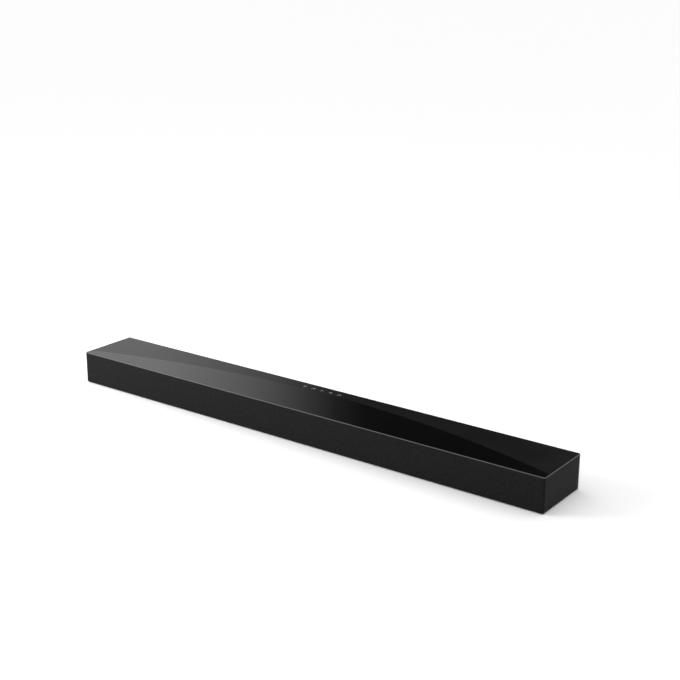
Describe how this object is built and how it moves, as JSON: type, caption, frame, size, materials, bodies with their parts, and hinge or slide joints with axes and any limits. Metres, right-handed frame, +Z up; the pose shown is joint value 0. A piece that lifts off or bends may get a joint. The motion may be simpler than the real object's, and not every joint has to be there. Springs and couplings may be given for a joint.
{
  "type": "soundbar",
  "caption": "Long low soundbar: cloth grille round the front and ends, arc-shaped gloss panel on top, row of push buttons, rear recesses for mains and signal sockets.",
  "frame": {"origin": "on the surface that it stands on, at the middle of its outline seen from above", "axes": "+X along the bar towards the listener's right as they face its front, +Y to the rear, +Z up; the front faces -Y"},
  "size_m": [1.05, 0.126, 0.0647],
  "materials": {
    "cover_plastic": "satin",
    "gloss_panel": "gloss",
    "trim_metal": "satin",
    "grille_plastic": "matte",
    "grille_cloth": "knitted",
    "housing_plastic": "fine texture",
    "baffle_board": "painted",
    "seal_foam": "matte",
    "foot_rubber": "matte",
    "button_plastic": "satin",
    "keypad_silicone": "matte",
    "board_laminate": "solder mask",
    "brass": "turned",
    "screw_steel": "black zinc",
    "heat_sink_aluminium": "extruded",
    "socket_shell": "nickel plated",
    "socket_plastic": "moulded",
    "panel_plastic": "fine texture",
    "lead_insulation": "satin",
    "basket_steel": "powder coated",
    "magnet_ferrite": "ground",
    "cone_polypropylene": "satin",
    "surround_rubber": "matte",
    "dome_silk": "coated",
    "tweeter_plastic": "matte"
  },
  "bodies": {
    "casing": {"aux_socket": "socket_plastic", "baffle_seal": "seal_foam", "board_screws": "screw_steel", "driver_screws": "screw_steel", "edge_trim": "trim_metal", "foot_front_left": "foot_rubber", "foot_front_right": "foot_rubber", "foot_rear_left": "foot_rubber", "foot_rear_right": "foot_rubber", "gloss_inlay": "gloss_panel", "grille_fabric": "grille_cloth", "grille_frame": "grille_plastic", "hdmi_sockets": "socket_shell", "heat_sink": "heat_sink_aluminium", "housing_screws": "screw_steel", "indicator_board": "board_laminate", "io_panel": "panel_plastic", "key_board": "board_laminate", "keypad_membrane": "keypad_silicone", "lower_housing": "housing_plastic", "main_board": "board_laminate", "mains_inlet": "socket_plastic", "optical_socket": "socket_plastic", "power_board": "board_laminate", "side_driver_left_frame": "basket_steel", "side_driver_left_magnet": "magnet_ferrite", "side_driver_left_suspension": "surround_rubber", "side_driver_right_frame": "basket_steel", "side_driver_right_magnet": "magnet_ferrite", "side_driver_right_suspension": "surround_rubber", "speaker_baffle": "baffle_board", "top_cover": "cover_plastic", "tweeter_left_body": "tweeter_plastic", "tweeter_right_body": "tweeter_plastic", "usb_socket": "socket_shell", "wall_inserts": "brass", "wireless_module": "socket_shell", "wiring_loom": "lead_insulation", "woofer_centre_frame": "basket_steel", "woofer_centre_magnet": "magnet_ferrite", "woofer_centre_suspension": "surround_rubber", "woofer_left_frame": "basket_steel", "woofer_left_magnet": "magnet_ferrite", "woofer_left_suspension": "surround_rubber", "woofer_right_frame": "basket_steel", "woofer_right_magnet": "magnet_ferrite", "woofer_right_suspension": "surround_rubber"},
    "button_power": {"button_power": "button_plastic"},
    "button_source": {"button_source": "button_plastic"},
    "button_volume_down": {"button_volume_down": "button_plastic"},
    "button_volume_up": {"button_volume_up": "button_plastic"},
    "button_pairing": {"button_pairing": "button_plastic"},
    "woofer_left_cone": {"woofer_left_cone": "cone_polypropylene"},
    "woofer_centre_cone": {"woofer_centre_cone": "cone_polypropylene"},
    "woofer_right_cone": {"woofer_right_cone": "cone_polypropylene"},
    "side_driver_left_cone": {"side_driver_left_cone": "cone_polypropylene"},
    "side_driver_right_cone": {"side_driver_right_cone": "cone_polypropylene"},
    "tweeter_left_dome": {"tweeter_left_dome": "dome_silk"},
    "tweeter_right_dome": {"tweeter_right_dome": "dome_silk"},
    "optical_shutter": {"optical_shutter": "socket_plastic"}
  },
  "joints": [
    {"name": "press_power", "type": "slide", "parent": "casing", "child": "button_power", "axis": [0, 0, -1], "range_m": [0, 0.0006], "stiffness_N_per_m": 1000, "springref_m": -0.0003, "deforming": ["keypad_membrane"]},
    {"name": "press_source", "type": "slide", "parent": "casing", "child": "button_source", "axis": [0, 0, -1], "range_m": [0, 0.0006], "stiffness_N_per_m": 1000, "springref_m": -0.0003, "deforming": ["keypad_membrane"]},
    {"name": "press_volume_down", "type": "slide", "parent": "casing", "child": "button_volume_down", "axis": [0, 0, -1], "range_m": [0, 0.0006], "stiffness_N_per_m": 1000, "springref_m": -0.0003, "deforming": ["keypad_membrane"]},
    {"name": "press_volume_up", "type": "slide", "parent": "casing", "child": "button_volume_up", "axis": [0, 0, -1], "range_m": [0, 0.0006], "stiffness_N_per_m": 1000, "springref_m": -0.0003, "deforming": ["keypad_membrane"]},
    {"name": "press_pairing", "type": "slide", "parent": "casing", "child": "button_pairing", "axis": [0, 0, -1], "range_m": [0, 0.0006], "stiffness_N_per_m": 1000, "springref_m": -0.0003, "deforming": ["keypad_membrane"]},
    {"name": "woofer_left_stroke", "type": "slide", "parent": "casing", "child": "woofer_left_cone", "axis": [0, -1, 0], "range_m": [-0.003, 0.003], "stiffness_N_per_m": 1500, "deforming": ["woofer_left_suspension"]},
    {"name": "woofer_centre_stroke", "type": "slide", "parent": "casing", "child": "woofer_centre_cone", "axis": [0, -1, 0], "range_m": [-0.003, 0.003], "stiffness_N_per_m": 1500, "deforming": ["woofer_centre_suspension"]},
    {"name": "woofer_right_stroke", "type": "slide", "parent": "casing", "child": "woofer_right_cone", "axis": [0, -1, 0], "range_m": [-0.003, 0.003], "stiffness_N_per_m": 1500, "deforming": ["woofer_right_suspension"]},
    {"name": "side_driver_left_stroke", "type": "slide", "parent": "casing", "child": "side_driver_left_cone", "axis": [-1, 0, 0], "range_m": [-0.003, 0.003], "stiffness_N_per_m": 1500, "deforming": ["side_driver_left_suspension"]},
    {"name": "side_driver_right_stroke", "type": "slide", "parent": "casing", "child": "side_driver_right_cone", "axis": [1, 0, 0], "range_m": [-0.003, 0.003], "stiffness_N_per_m": 1500, "deforming": ["side_driver_right_suspension"]},
    {"name": "tweeter_left_stroke", "type": "slide", "parent": "casing", "child": "tweeter_left_dome", "axis": [0, -1, 0], "range_m": [-0.0003, 0.0003], "stiffness_N_per_m": 2000},
    {"name": "tweeter_right_stroke", "type": "slide", "parent": "casing", "child": "tweeter_right_dome", "axis": [0, -1, 0], "range_m": [-0.0003, 0.0003], "stiffness_N_per_m": 2000},
    {"name": "optical_shutter_hinge", "type": "hinge", "parent": "casing", "child": "optical_shutter", "pos_m": [0.14, 0.0455, 0.0291], "axis": [-1, 0, 0], "range_deg": [0, 80], "stiffness_Nm_per_rad": 0.002, "springref_deg": -11.46}
  ]
}
